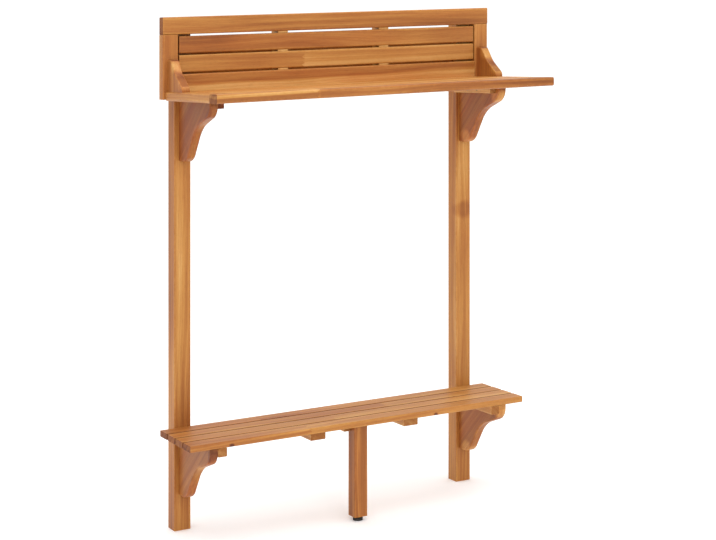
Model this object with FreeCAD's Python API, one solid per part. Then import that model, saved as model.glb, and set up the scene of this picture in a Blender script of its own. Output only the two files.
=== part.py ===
import FreeCAD, Part
import math
import os

# Balcony railing bar table: a slatted tabletop and a low slatted shelf, carried on brackets by two
# posts that stand against a balcony railing, with a slatted splash panel above the tabletop and one
# front leg on a levelling foot.
#
# Millimetres. X runs along the railing, Y from the user towards the railing, Z up. The origin is on
# the floor, under the middle of the table's width and depth.

Vector = FreeCAD.Vector

# Whole table
table_width = 900.0
table_height = 1048.0
top_depth = 310.0

# Rounding of the sawn edges
edge_round = 3.0
top_edge_round = 5.0
top_slat_edge_round = 2.0
batten_edge_round = 1.5
shaped_edge_round = 2.5
post_edge_round = 1.5

# Posts
post_width = 42.0
post_depth = 40.0
post_end_margin = 38.0
post_top_drop = 15.0

# Splash panel
panel_thickness = 24.0
panel_lift = 3.0
panel_gap = 4.2
panel_top_rail_height = 41.8
panel_bottom_rail_height = 58.6
panel_stile_width = 39.0
panel_slat_count = 2
panel_slat_height = 41.0
panel_slat_thickness = 22.0
panel_slat_end_gap = 3.0
panel_batten_width = 27.0
panel_batten_thickness = 18.0
panel_batten_centres = {"left": -135.5, "right": 145.0}
panel_batten_end_margin = 8.0
panel_tongue_recess = 1.0
rear_rail_lap = 8.5

# Tabletop
top_thickness = 21.0
top_end_inset = 6.0
top_front_rail_depth = 44.0
top_end_rail_width = 44.0
top_slat_count = 6
top_slat_gap = 4.4
top_batten_width = 16.0
top_batten_thickness = 18.0
top_batten_lengths = {"left": 186.0, "right": 174.0}

# Cheeks, which stand on the tabletop's ends against the splash panel
cheek_thickness = 20.0
cheek_inset = 6.0
cheek_height = 76.0
cheek_reach = 91.5
cheek_top_reach = 20.0
cheek_top_round = 12.0
cheek_waist_reach = 47.5
cheek_waist_height = 41.0
cheek_waist_round = 60.0
cheek_toe_height = 10.0
cheek_toe_round = 14.0

# Brackets, alike under the tabletop and under the shelf
bracket_thickness = 21.0
bracket_outer_inset = 12.0
bracket_reach = 189.5
bracket_drop = 146.0
bracket_nose_drop = 31.5
bracket_nose_round = 32.0
bracket_elbow_reach = 99.0
bracket_elbow_drop = 64.5
bracket_elbow_round = 85.0
bracket_heel_reach = 44.0
bracket_heel_round = 35.0

# Shelf
shelf_height = 246.5
shelf_thickness = 15.0
shelf_depth = 190.0
shelf_end_inset = 2.0
shelf_board_count = 4
shelf_board_gap = 4.0
shelf_edge_round = 2.5
shelf_batten_width = 39.0
shelf_batten_thickness = 16.0
shelf_batten_centres = {"left": -122.0, "right": 129.0}
shelf_batten_setback = 4.0
shelf_end_batten_width = 22.0
shelf_end_batten_thickness = 20.0

# Front leg
leg_width = 35.0
leg_setback = 17.5
leg_floor_gap = 11.0
leg_batten_width = 18.0
leg_batten_setback = 21.0

# Levelling foot
pad_radius = 12.0
pad_height = 6.5
pad_round = 1.5
pad_socket_depth = 4.0
stud_radius = 4.0
stud_length = 30.0
stud_tip_chamfer = 0.8
stud_collar_flats = 13.0
stud_collar_height = 2.5
insert_radius = 6.0
insert_length = 15.0
running_clearance = 0.05
foot_travel_in = 1.5
stud_bore_spare = 1.5
stud_bore_clearance = 0.5

# Dowels
dowel_radius = 4.0
dowel_length = 40.0
short_dowel_length = 28.0
leg_dowel_length = 24.0
dowel_chamfer = 1.0
dowel_spacing = 16.0
rear_rail_dowel_spacing = 34.0
panel_dowel_spacing = 31.0

# Screws
screw_radius = 2.0
screw_head_radius = 4.0
screw_head_depth = 2.4
long_screw_radius = 2.5
long_screw_head_radius = 4.8
long_screw_head_depth = 2.8
screw_point_length = 4.0
screw_point_share = 0.3
drive_slot_width = 0.9
drive_slot_share = 0.62
drive_slot_depth = 1.6
screw_grip = 12.0
shelf_screw_grip = 10.0
long_screw_grip = 30.0
cheek_screw_grip = 25.0
cheek_screw_spacing = 45.0
cheek_screw_setback = 25.0
cheek_back_screw_height = 40.0
bracket_screw_drop = 25.0
bracket_screw_spacing = 85.0
bracket_side_screw_count = 2
rear_rail_screw_spacing = 40.0
panel_edge_screw_offsets = (80.0, 290.0)
bore_clearance = 0.1
bore_end_clearance = 0.3

# Levels, from the floor up
top_under_z = table_height - top_thickness
panel_base_z = top_under_z + panel_lift
bottom_rail_top_z = panel_base_z + panel_bottom_rail_height
slat_pitch = panel_slat_height + panel_gap
top_rail_base_z = bottom_rail_top_z + panel_gap + panel_slat_count * slat_pitch
panel_top_z = top_rail_base_z + panel_top_rail_height
post_top_z = panel_top_z - post_top_drop
shelf_under_z = shelf_height - shelf_thickness
rear_rail_base_z = bottom_rail_top_z - rear_rail_lap
rear_rail_top_z = bottom_rail_top_z + slat_pitch + panel_gap + rear_rail_lap
top_batten_under_z = top_under_z - top_batten_thickness
shelf_batten_under_z = shelf_under_z - shelf_batten_thickness
shelf_end_batten_under_z = shelf_under_z - shelf_end_batten_thickness

# Places in depth, from the tabletop's front edge back
table_depth = top_depth + panel_thickness + post_depth
front_y = -table_depth / 2
panel_front_y = front_y + top_depth
post_front_y = panel_front_y + panel_thickness
rear_y = post_front_y + post_depth
panel_slat_front_y = post_front_y - panel_slat_thickness
panel_batten_rear_y = post_front_y + panel_batten_thickness
shelf_front_y = post_front_y - shelf_depth
front_rail_rear_y = front_y + top_front_rail_depth
leg_front_y = shelf_front_y + leg_setback
leg_rear_y = leg_front_y + leg_width
leg_y = (leg_front_y + leg_rear_y) / 2
leg_batten_front_y = leg_front_y + leg_batten_setback

# Places in width, as distances from the middle
panel_half_width = table_width / 2
top_half_width = panel_half_width - top_end_inset
slat_half_length = top_half_width - top_end_rail_width
cheek_outer_x = top_half_width - cheek_inset
cheek_x = cheek_outer_x - cheek_thickness / 2
post_outer_x = panel_half_width - post_end_margin
post_inner_x = post_outer_x - post_width
post_x = (post_outer_x + post_inner_x) / 2
bracket_outer_x = post_outer_x - bracket_outer_inset
bracket_inner_x = bracket_outer_x - bracket_thickness
bracket_x = (bracket_outer_x + bracket_inner_x) / 2
top_batten_inner_x = bracket_inner_x - top_batten_width
shelf_end_batten_inner_x = bracket_inner_x - shelf_end_batten_width
stile_inner_x = panel_half_width - panel_stile_width
leg_side_x = -leg_width / 2
panel_slat_half_length = stile_inner_x - panel_slat_end_gap

sides = {"left": -1, "right": 1}

# How near two places are to count as the same
tolerance = 0.01


def spans(count, pitch, start, width):
    """Gives the (low, high) pairs of a row of equal pieces."""
    return [(start + i * pitch, start + i * pitch + width) for i in range(count)]


def middle(span):
    """Gives the middle of a (low, high) pair."""
    return (span[0] + span[1]) / 2


def mirrored(side, near_x, far_x):
    """Gives the (low, high) X pair of a piece between two distances from the middle, on one side."""
    low, high = sorted((side * near_x, side * far_x))
    return low, high


top_slat_room = panel_front_y - front_rail_rear_y
top_slat_width = top_slat_room / top_slat_count - top_slat_gap
top_slat_spans = spans(
    top_slat_count, top_slat_width + top_slat_gap, front_rail_rear_y + top_slat_gap, top_slat_width
)
shelf_board_pitch = (shelf_depth + shelf_board_gap) / shelf_board_count
shelf_board_width = shelf_board_pitch - shelf_board_gap
shelf_board_spans = spans(shelf_board_count, shelf_board_pitch, shelf_front_y, shelf_board_width)
panel_slat_spans = spans(panel_slat_count, slat_pitch, bottom_rail_top_z + panel_gap, panel_slat_height)
panel_gap_spans = spans(panel_slat_count + 1, slat_pitch, bottom_rail_top_z, panel_gap)


def gap_middles(pieces, count):
    """Gives the middles of the rearmost gaps in a row of (low, high) pairs."""
    gaps = [(ahead[1] + behind[0]) / 2 for ahead, behind in zip(pieces, pieces[1:])]
    return gaps[-count:]


def runs_along(edge, axis):
    """Says whether a straight edge runs along one axis: 0 for X, 1 for Y, 2 for Z."""
    if not isinstance(edge.Curve, Part.Line):
        return False
    return abs(abs(tuple(edge.Curve.Direction)[axis]) - 1) < tolerance


def board(x, y, z, axis, radius=edge_round):
    """Makes a board between (low, high) pairs, its four edges along the grain rounded."""
    solid = Part.makeBox(x[1] - x[0], y[1] - y[0], z[1] - z[0], Vector(x[0], y[0], z[0]))
    edges = [edge for edge in solid.Edges if runs_along(edge, axis)]
    return solid.makeFillet(radius, edges)


def round_edges_at(solid, radius, axis, **planes):
    """Rounds the straight edges along one axis that lie on the named planes, such as y=0 and z=5."""
    def lies_there(edge):
        centre = edge.CenterOfMass
        return all(abs(getattr(centre, name) - value) < tolerance for name, value in planes.items())

    edges = [edge for edge in solid.Edges if runs_along(edge, axis) and lies_there(edge)]
    return solid.makeFillet(radius, edges)


def rounded_outline(corners):
    """Makes a closed outline from (point, radius) corners; a radius of 0 leaves a corner sharp."""
    count = len(corners)
    stops = []
    for i, (corner, radius) in enumerate(corners):
        towards_last = (corners[i - 1][0] - corner).normalize()
        towards_next = (corners[(i + 1) % count][0] - corner).normalize()
        if radius == 0:
            stops.append((corner, None, corner))
            continue
        half_angle = towards_last.getAngle(towards_next) / 2
        reach = radius / math.tan(half_angle)
        bisector = (towards_last + towards_next).normalize()
        crown = corner + bisector * (radius / math.sin(half_angle) - radius)
        stops.append((corner + towards_last * reach, crown, corner + towards_next * reach))
    edges = []
    for i, (start, crown, end) in enumerate(stops):
        if crown is not None:
            edges.append(Part.Arc(start, crown, end).toShape())
        edges.append(Part.LineSegment(end, stops[(i + 1) % count][0]).toShape())
    return Part.Wire(edges)


def shaped_board(corners, x, flat_planes):
    """Cuts a board across X to an outline, rounding its edges except on the flat mating planes."""
    outline = rounded_outline(corners)
    outline.translate(Vector(x[0], 0, 0))
    solid = Part.Face(outline).extrude(Vector(x[1] - x[0], 0, 0))

    def is_free(edge):
        box = edge.BoundBox
        if box.XLength > tolerance:
            return False
        for name, value in flat_planes:
            low, high = getattr(box, name + "Min"), getattr(box, name + "Max")
            if abs(low - value) < tolerance and abs(high - value) < tolerance:
                return False
        return True

    return solid.makeFillet(shaped_edge_round, [edge for edge in solid.Edges if is_free(edge)])


def bracket(side, top_z):
    """Makes a bracket against a post's front, under a face at top_z."""
    def at(reach, drop):
        return Vector(0, post_front_y - reach, top_z - drop)

    corners = [
        (at(0, 0), 0),
        (at(bracket_reach, 0), 0),
        (at(bracket_reach, bracket_nose_drop), bracket_nose_round),
        (at(bracket_elbow_reach, bracket_elbow_drop), bracket_elbow_round),
        (at(bracket_heel_reach, bracket_drop), bracket_heel_round),
        (at(0, bracket_drop), 0),
    ]
    x = mirrored(side, bracket_inner_x, bracket_outer_x)
    return shaped_board(corners, x, [("Y", post_front_y), ("Z", top_z)])


def cheek(side):
    """Makes a cheek that stands on the tabletop's end with its back on the splash panel."""
    def at(reach, height):
        return Vector(0, panel_front_y - reach, table_height + height)

    corners = [
        (at(0, 0), 0),
        (at(cheek_reach, 0), 0),
        (at(cheek_reach, cheek_toe_height), cheek_toe_round),
        (at(cheek_waist_reach, cheek_waist_height), cheek_waist_round),
        (at(cheek_top_reach, cheek_height), cheek_top_round),
        (at(0, cheek_height), 0),
    ]
    x = mirrored(side, cheek_outer_x - cheek_thickness, cheek_outer_x)
    return shaped_board(corners, x, [("Y", panel_front_y), ("Z", table_height)])


def make_posts():
    """Makes the two posts, from the floor up behind the splash panel."""
    y = (post_front_y, rear_y)
    return {
        f"post_{name}": board(
            mirrored(side, post_inner_x, post_outer_x), y, (0, post_top_z), 2, post_edge_round
        )
        for name, side in sides.items()
    }


def panel_batten(centre):
    """Makes a batten behind the splash panel, with a tongue forward into each of the panel's gaps."""
    x = (centre - panel_batten_width / 2, centre + panel_batten_width / 2)
    z = (panel_base_z + panel_batten_end_margin, panel_top_z - post_top_drop - panel_batten_end_margin)
    batten = Part.makeBox(
        panel_batten_width, panel_batten_thickness, z[1] - z[0], Vector(x[0], post_front_y, z[0])
    )
    batten = round_edges_at(batten, batten_edge_round, 2, y=panel_batten_rear_y)
    tongue_front_y = panel_slat_front_y + panel_tongue_recess
    for low, high in panel_gap_spans:
        tongue = Part.makeBox(
            panel_batten_width, post_front_y - tongue_front_y, high - low,
            Vector(x[0], tongue_front_y, low),
        )
        batten = batten.fuse(tongue)
    return batten.removeSplitter()


def make_panel():
    """Makes the splash panel's frame, slats, battens and the rail behind them."""
    full_x = (-panel_half_width, panel_half_width)
    y = (panel_front_y, post_front_y)
    slat_y = (panel_slat_front_y, post_front_y)
    inner_x = (-stile_inner_x, stile_inner_x)
    slat_x = (-panel_slat_half_length, panel_slat_half_length)
    pieces = {
        "panel_top_rail": board(full_x, y, (top_rail_base_z, panel_top_z), 0),
        "panel_bottom_rail": board(inner_x, y, (panel_base_z, bottom_rail_top_z), 0),
    }
    for name, side in sides.items():
        x = mirrored(side, stile_inner_x, panel_half_width)
        stile = Part.makeBox(
            panel_stile_width, panel_thickness, top_rail_base_z - panel_base_z,
            Vector(x[0], panel_front_y, panel_base_z),
        )
        pieces[f"panel_stile_{name}"] = round_edges_at(stile, edge_round, 2, y=panel_front_y)
        pieces[f"panel_batten_{name}"] = panel_batten(panel_batten_centres[name])
    for i, z in enumerate(panel_slat_spans, start=1):
        pieces[f"panel_slat_{i}"] = board(slat_x, slat_y, z, 0)
    rail_x = (-post_inner_x, post_inner_x)
    rail_y = (panel_batten_rear_y, rear_y)
    pieces["rear_rail"] = board(rail_x, rail_y, (rear_rail_base_z, rear_rail_top_z), 0)
    return pieces


def make_tabletop():
    """Makes the tabletop's front rail, end rails, slats and the battens beside the brackets."""
    z = (top_under_z, table_height)
    full_x = (-top_half_width, top_half_width)
    front = board(full_x, (front_y, front_rail_rear_y), z, 0, top_edge_round)
    pieces = {"top_front_rail": front}
    for name, side in sides.items():
        x = mirrored(side, slat_half_length, top_half_width)
        rail = Part.makeBox(
            top_end_rail_width, panel_front_y - front_rail_rear_y, top_thickness,
            Vector(x[0], front_rail_rear_y, z[0]),
        )
        outer_x = side * top_half_width
        rail = round_edges_at(rail, top_edge_round, 1, x=outer_x, z=table_height)
        rail = round_edges_at(rail, top_edge_round, 1, x=outer_x, z=top_under_z)
        pieces[f"top_end_rail_{name}"] = rail
        x = mirrored(side, top_batten_inner_x, bracket_inner_x)
        y = (post_front_y - top_batten_lengths[name], post_front_y)
        batten_z = (top_batten_under_z, top_under_z)
        pieces[f"top_batten_{name}"] = board(x, y, batten_z, 1, batten_edge_round)
    for i, y in enumerate(top_slat_spans, start=1):
        pieces[f"top_slat_{i}"] = board(
            (-slat_half_length, slat_half_length), y, z, 0, top_slat_edge_round
        )
    return pieces


def make_supports():
    """Makes the two cheeks and the four brackets."""
    pieces = {}
    for name, side in sides.items():
        pieces[f"cheek_{name}"] = cheek(side)
        pieces[f"top_bracket_{name}"] = bracket(side, top_under_z)
        pieces[f"shelf_bracket_{name}"] = bracket(side, shelf_under_z)
    return pieces


def make_shelf():
    """Makes the shelf's boards and the battens beneath them."""
    half_length = panel_half_width - shelf_end_inset
    z = (shelf_under_z, shelf_height)
    pieces = {}
    for i, y in enumerate(shelf_board_spans, start=1):
        pieces[f"shelf_board_{i}"] = board((-half_length, half_length), y, z, 0, shelf_edge_round)
    end_y = (post_front_y - bracket_reach, post_front_y)
    end_z = (shelf_end_batten_under_z, shelf_under_z)
    y = (shelf_front_y + shelf_batten_setback, post_front_y)
    z = (shelf_batten_under_z, shelf_under_z)
    for name, side in sides.items():
        x = mirrored(side, shelf_end_batten_inner_x, bracket_inner_x)
        pieces[f"shelf_end_batten_{name}"] = board(x, end_y, end_z, 1, batten_edge_round)
        centre = shelf_batten_centres[name]
        x = (centre - shelf_batten_width / 2, centre + shelf_batten_width / 2)
        pieces[f"shelf_mid_batten_{name}"] = board(x, y, z, 1, batten_edge_round)
    x = (leg_side_x - leg_batten_width, leg_side_x)
    y = (leg_batten_front_y, post_front_y)
    pieces["shelf_leg_batten"] = board(x, y, z, 1, batten_edge_round)
    return pieces


def make_leg():
    """Makes the front leg, from its levelling foot up to the shelf."""
    x = (-leg_width / 2, leg_width / 2)
    leg = board(x, (leg_front_y, leg_rear_y), (leg_floor_gap, shelf_under_z), 2)
    stud_top_z = pad_height + running_clearance + stud_collar_height + stud_length
    bore_top_z = stud_top_z + foot_travel_in + stud_bore_spare
    base = Vector(0, leg_y, leg_floor_gap)
    leg = leg.cut(Part.makeCylinder(insert_radius, insert_length, base))
    bore = Part.makeCylinder(stud_radius + stud_bore_clearance, bore_top_z - leg_floor_gap, base)
    return {"leg": leg.cut(bore)}


def make_levelling_foot():
    """Makes the leg's threaded insert, the foot's stud and its pad, threads as plain cylinders."""
    base = Vector(0, leg_y, leg_floor_gap)
    insert = Part.makeCylinder(insert_radius, insert_length, base)
    insert = insert.cut(Part.makeCylinder(stud_radius + running_clearance, insert_length, base))

    pad = Part.makeCylinder(pad_radius, pad_height, Vector(0, leg_y, 0))
    rims = [edge for edge in pad.Edges if isinstance(edge.Curve, Part.Circle)]
    pad = pad.makeFillet(pad_round, [edge for edge in rims if edge.CenterOfMass.z > pad_height / 2])
    socket_base = Vector(0, leg_y, pad_height - pad_socket_depth)
    pad = pad.cut(Part.makeCylinder(stud_radius + running_clearance, pad_socket_depth, socket_base))

    collar_z = pad_height + running_clearance
    corner_radius = stud_collar_flats / 2 / math.cos(math.radians(30))
    corners = [
        Vector(
            corner_radius * math.cos(math.radians(60 * i)),
            leg_y + corner_radius * math.sin(math.radians(60 * i)),
            collar_z,
        )
        for i in range(6)
    ]
    collar = Part.Face(Part.makePolygon(corners + corners[:1])).extrude(Vector(0, 0, stud_collar_height))
    foot_z = pad_height - pad_socket_depth + running_clearance
    shank_top_z = collar_z + stud_collar_height + stud_length
    shank = Part.makeCylinder(stud_radius, shank_top_z - foot_z, Vector(0, leg_y, foot_z))
    rims = [edge for edge in shank.Edges if isinstance(edge.Curve, Part.Circle)]
    shank = shank.makeChamfer(stud_tip_chamfer, [edge for edge in rims if edge.CenterOfMass.z > collar_z])
    return {"leg_insert": insert, "foot_stud": shank.fuse(collar), "foot_pad": pad}


def dowel(centre, direction, length=dowel_length):
    """Makes a dowel about its centre, and the bore that it fills."""
    start = centre - direction * (length / 2)
    pin = Part.makeCylinder(dowel_radius, length, start, direction)
    rims = [edge for edge in pin.Edges if isinstance(edge.Curve, Part.Circle)]
    pin = pin.makeChamfer(dowel_chamfer, rims)
    bore_length = length + 2 * bore_end_clearance
    bore_start = centre - direction * (bore_length / 2)
    bore = Part.makeCylinder(dowel_radius + bore_clearance, bore_length, bore_start, direction)
    return pin, bore


def screw(head, direction, length, is_long=False):
    """Makes a countersunk screw from its head's middle inwards, and the bore that it fills."""
    radius = long_screw_radius if is_long else screw_radius
    head_radius = long_screw_head_radius if is_long else screw_head_radius
    head_depth = long_screw_head_depth if is_long else screw_head_depth

    def shape(extra, end_extra):
        cone = Part.makeCone(head_radius + extra, radius + extra, head_depth, head, direction)
        shank_length = length - screw_point_length - head_depth
        shank = Part.makeCylinder(radius + extra, shank_length, head + direction * head_depth, direction)
        tip_start = head + direction * (length - screw_point_length)
        tip = Part.makeCone(
            radius + extra, screw_point_share * radius + extra, screw_point_length + end_extra,
            tip_start, direction,
        )
        return cone.fuse(shank).fuse(tip)

    body = shape(0, 0)
    across = Vector(0, 0, 1) if abs(direction.z) < 0.5 else Vector(1, 0, 0)
    slot_length = 2 * head_radius * drive_slot_share
    for span in (across, direction.cross(across)):
        start = head - span * (slot_length / 2) - direction.cross(span) * (drive_slot_width / 2)
        corner = [start, start + span * slot_length]
        corner += [point + direction.cross(span) * drive_slot_width for point in reversed(corner)]
        outline = Part.makePolygon(corner + corner[:1])
        body = body.cut(Part.Face(outline).extrude(direction * drive_slot_depth))
    return body.removeSplitter(), shape(bore_clearance, bore_end_clearance)


right = Vector(1, 0, 0)
back = Vector(0, 1, 0)
up = Vector(0, 0, 1)


def make_panel_fasteners():
    """Makes the dowels and screws that hold the splash panel and tie it to the posts."""
    mid_y = (panel_front_y + post_front_y) / 2
    bottom_rail_z = (panel_base_z + bottom_rail_top_z) / 2
    top_rail_z = (top_rail_base_z + panel_top_z) / 2
    post_lap_z = (top_rail_base_z + post_top_z) / 2
    batten_lap_z = (top_rail_base_z + post_top_z - panel_batten_end_margin) / 2
    dowels, batten_screws, post_screws, rail_dowels, rail_screws = [], [], [], [], []
    rail_y = (panel_batten_rear_y + rear_y) / 2
    rail_z = (rear_rail_base_z + rear_rail_top_z) / 2
    for name, side in sides.items():
        stile_x = side * (stile_inner_x + panel_half_width) / 2
        batten_x = panel_batten_centres[name]
        for half in (-0.5, 0.5):
            dowels.append(dowel(Vector(stile_x + half * dowel_spacing, mid_y, top_rail_base_z), up))
            joint = Vector(side * stile_inner_x, mid_y, bottom_rail_z + half * panel_dowel_spacing)
            dowels.append(dowel(joint, right))
            joint = Vector(side * post_inner_x, rail_y, rail_z + half * rear_rail_dowel_spacing)
            rail_dowels.append(dowel(joint, right))
            head = Vector(batten_x, rear_y, rail_z + half * rear_rail_screw_spacing)
            rail_screws.append(screw(head, -back, rear_y - panel_batten_rear_y + screw_grip))
        slat_levels = [middle(span) for span in panel_slat_spans]
        for z in [bottom_rail_z] + slat_levels + [batten_lap_z]:
            head = Vector(batten_x, panel_batten_rear_y, z)
            batten_screws.append(screw(head, -back, panel_batten_thickness + screw_grip))
        for z in [bottom_rail_z] + slat_levels + [post_lap_z]:
            head = Vector(side * post_x, rear_y, z)
            post_screws.append(screw(head, -back, post_depth + screw_grip, is_long=True))
    return {
        "panel_dowels": dowels,
        "panel_batten_screws": batten_screws,
        "panel_post_screws": post_screws,
        "rear_rail_dowels": rail_dowels,
        "rear_rail_screws": rail_screws,
    }


def make_tabletop_fasteners():
    """Makes the dowels and screws in the tabletop and its cheeks."""
    mid_z = (top_under_z + table_height) / 2
    frame_dowels, slat_dowels, batten_screws, cheek_screws, edge_screws = [], [], [], [], []
    for name, side in sides.items():
        rail_x = side * (slat_half_length + top_half_width) / 2
        batten_x = side * (top_batten_inner_x + bracket_inner_x) / 2
        batten_front_y = post_front_y - top_batten_lengths[name]
        for half in (-0.5, 0.5):
            joint = Vector(rail_x + half * dowel_spacing, front_rail_rear_y, mid_z)
            frame_dowels.append(dowel(joint, back))
        for span in top_slat_spans:
            joint = Vector(side * slat_half_length, middle(span), mid_z)
            slat_dowels.append(dowel(joint, right, short_dowel_length))
            if middle(span) > batten_front_y + screw_head_radius:
                head = Vector(batten_x, middle(span), top_batten_under_z)
                batten_screws.append(screw(head, up, top_batten_thickness + screw_grip))
        for i in range(2):
            y = panel_front_y - cheek_screw_setback - i * cheek_screw_spacing
            head = Vector(side * cheek_x, y, top_under_z)
            cheek_screws.append(screw(head, up, top_thickness + cheek_screw_grip))
        head = Vector(side * cheek_x, post_front_y, table_height + cheek_back_screw_height)
        cheek_screws.append(screw(head, -back, panel_thickness + cheek_screw_grip))
        for offset in panel_edge_screw_offsets:
            head = Vector(side * offset, post_front_y, mid_z)
            edge_screws.append(screw(head, -back, panel_thickness + screw_grip))
    return {
        "top_frame_dowels": frame_dowels,
        "top_slat_dowels": slat_dowels,
        "top_batten_screws": batten_screws,
        "cheek_screws": cheek_screws,
        "panel_edge_screws": edge_screws,
    }


def make_bracket_fasteners():
    """Makes the screws that hold the brackets to the posts and the end battens to the brackets."""
    levels = (
        (top_under_z, top_batten_under_z, top_batten_width, top_slat_spans),
        (shelf_under_z, shelf_end_batten_under_z, shelf_end_batten_width, shelf_board_spans),
    )
    post_screws, side_screws = [], []
    for side in sides.values():
        for top_z, batten_z, batten_width, carried in levels:
            for i in range(2):
                z = top_z - bracket_screw_drop - i * bracket_screw_spacing
                head = Vector(side * bracket_x, rear_y, z)
                post_screws.append(screw(head, -back, post_depth + long_screw_grip, is_long=True))
            for y in gap_middles(carried, bracket_side_screw_count):
                head = Vector(side * (bracket_inner_x - batten_width), y, (top_z + batten_z) / 2)
                side_screws.append(screw(head, right * side, batten_width + screw_grip))
    return {"bracket_post_screws": post_screws, "bracket_side_screws": side_screws}


def make_shelf_fasteners():
    """Makes the screws in the shelf's battens and the dowels in the leg's head."""
    end_batten_x = (shelf_end_batten_inner_x + bracket_inner_x) / 2
    end_places = [(side * end_batten_x, shelf_end_batten_under_z) for side in sides.values()]
    mid_places = [(x, shelf_batten_under_z) for x in shelf_batten_centres.values()]
    leg_place = (leg_side_x - leg_batten_width / 2, shelf_batten_under_z)
    screws, dowels = [], []
    for span in shelf_board_spans:
        behind_leg = middle(span) > leg_rear_y + screw_head_radius
        for x, z in end_places + mid_places + ([leg_place] if behind_leg else []):
            length = shelf_under_z - z + shelf_screw_grip
            screws.append(screw(Vector(x, middle(span), z), up, length))
    y = (leg_batten_front_y + leg_rear_y) / 2
    head = Vector(leg_side_x - leg_batten_width, y, shelf_under_z - shelf_batten_thickness / 2)
    leg_screws = [screw(head, right, leg_batten_width + screw_grip)]
    y = (leg_front_y + shelf_board_spans[0][1]) / 2
    for half in (-0.5, 0.5):
        dowels.append(dowel(Vector(half * dowel_spacing, y, shelf_under_z), up, leg_dowel_length))
    return {"shelf_batten_screws": screws, "leg_batten_screws": leg_screws, "leg_dowels": dowels}


def cut_bores(pieces, fasteners):
    """Bores each wooden piece for every fastener that reaches into it."""
    bores = [bore for group in fasteners.values() for _, bore in group]
    for name, solid in pieces.items():
        near = [bore for bore in bores if bore.BoundBox.intersect(solid.BoundBox)]
        pieces[name] = solid.cut(near) if near else solid


def make_table():
    """Makes every node of the table, by name."""
    wood = {}
    for make in (make_posts, make_panel, make_tabletop, make_supports, make_shelf, make_leg):
        wood.update(make())
    fasteners = {}
    for make in (make_panel_fasteners, make_tabletop_fasteners):
        fasteners.update(make())
    for make in (make_bracket_fasteners, make_shelf_fasteners):
        fasteners.update(make())
    cut_bores(wood, fasteners)
    nodes = dict(wood)
    nodes.update(make_levelling_foot())
    for name, group in fasteners.items():
        nodes[name] = Part.makeCompound([body for body, _ in group])
    return nodes


os.makedirs("parts", exist_ok=True)
for node, shape in make_table().items():
    solids = shape.Solids
    assert solids and all(solid.isValid() for solid in solids), node
    shape.exportStep(f"parts/{node}.step")
    print(f"{node}: {len(solids)} solids, {sum(solid.Volume for solid in solids) / 1000:.1f} cm3")
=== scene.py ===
"""The balcony railing bar table, dressed in oiled hardwood, on a pale floor in soft light."""
import logging
import math
from dataclasses import dataclass
from enum import Enum
from typing import Callable, Iterator, Optional, Sequence, Union

import bpy
from mathutils import Matrix, Vector


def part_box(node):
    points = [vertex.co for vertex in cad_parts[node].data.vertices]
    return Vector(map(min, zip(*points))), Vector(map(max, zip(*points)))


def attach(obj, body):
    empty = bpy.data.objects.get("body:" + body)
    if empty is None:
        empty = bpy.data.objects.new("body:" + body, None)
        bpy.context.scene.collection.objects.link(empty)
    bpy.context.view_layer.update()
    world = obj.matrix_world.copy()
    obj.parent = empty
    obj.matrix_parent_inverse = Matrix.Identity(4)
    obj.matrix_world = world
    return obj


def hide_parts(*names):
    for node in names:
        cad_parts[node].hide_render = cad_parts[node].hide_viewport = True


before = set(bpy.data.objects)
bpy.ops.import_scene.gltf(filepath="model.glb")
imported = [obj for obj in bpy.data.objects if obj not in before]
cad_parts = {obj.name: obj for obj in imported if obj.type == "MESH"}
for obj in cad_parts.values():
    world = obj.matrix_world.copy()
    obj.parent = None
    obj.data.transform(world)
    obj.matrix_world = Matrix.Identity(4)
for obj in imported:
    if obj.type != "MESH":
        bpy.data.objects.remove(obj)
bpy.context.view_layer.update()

log: logging.Logger = logging.getLogger("bar_table")

Number = Union[int, float]
Colour = tuple[float, float, float, float]
Corner = tuple[float, float, float]
Piece = bpy.types.Object

WHITE: Colour = (1.0, 1.0, 1.0, 1.0)
UP: Vector = Vector((0.0, 0.0, 1.0))
# Places nearer than the first are one place, and faces nearer than the second touch.
NEAR: float = 0.00001
TOUCH: float = 0.0001


def colour(red: int, green: int, blue: int) -> Colour:
    """Gives the scene's own linear colour of one that is named as it shows on a screen.

    Args:
        red: Red from 0 to 255.
        green: Green from 0 to 255.
        blue: Blue from 0 to 255.

    Returns:
        The linear colour, fully opaque.
    """
    def straighten(value: int) -> float:
        """Undoes the screen's own curve for one channel."""
        share = value / 255
        return share / 12.92 if share <= 0.04045 else ((share + 0.055) / 1.055) ** 2.4

    return straighten(red), straighten(green), straighten(blue), 1.0


def corners_of(node: str) -> tuple[Vector, Vector]:
    """Gives a node's lowest and highest corners."""
    low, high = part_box(node)
    return Vector(low), Vector(high)


def is_level(spots: Sequence[Vector], sides: Sequence[Vector], axis: int) -> bool:
    """Says whether some places are all level with one of some sides, along one axis."""
    return any(all(abs(spot[axis] - side[axis]) < NEAR for spot in spots) for side in sides)


class Blend(Enum):
    """How one colour lies on another."""

    MIX = "MIX"
    MULTIPLY = "MULTIPLY"


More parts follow.
